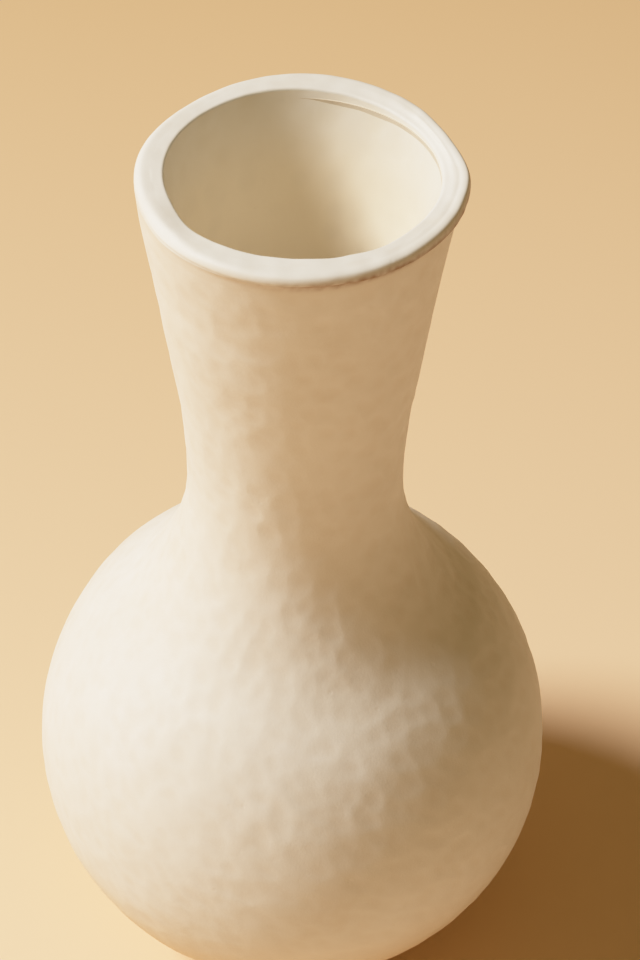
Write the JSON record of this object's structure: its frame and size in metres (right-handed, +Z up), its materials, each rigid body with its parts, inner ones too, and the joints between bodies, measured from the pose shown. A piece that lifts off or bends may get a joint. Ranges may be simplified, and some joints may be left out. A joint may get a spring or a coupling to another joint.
{
  "type": "ceramic bud vase",
  "caption": "Round-bellied ceramic bud vase whose long neck narrows at a waist and opens to a thick, hand-rolled lip.",
  "frame": {"origin": "centre of the flat foot, where the vase stands", "axes": "+Z up along the vase's axis, out of the mouth; +X and +Y lie in the foot's plane"},
  "size_m": [0.09, 0.09, 0.163],
  "materials": {
    "matte_clay_body": "matte",
    "satin_rim": "satin",
    "clear_liner_glaze": "satin",
    "joining_slip": "matte"
  },
  "bodies": {
    "root": {"foot_slab": "matte_clay_body", "lower_bowl": "matte_clay_body", "upper_bowl": "matte_clay_body", "neck": "matte_clay_body", "rim_coil": "satin_rim", "glaze_liner": "clear_liner_glaze", "foot_slip_ring": "joining_slip", "equator_slip_ring": "joining_slip", "shoulder_slip_ring": "joining_slip", "rim_slip_ring": "joining_slip"}
  },
  "joints": []
}
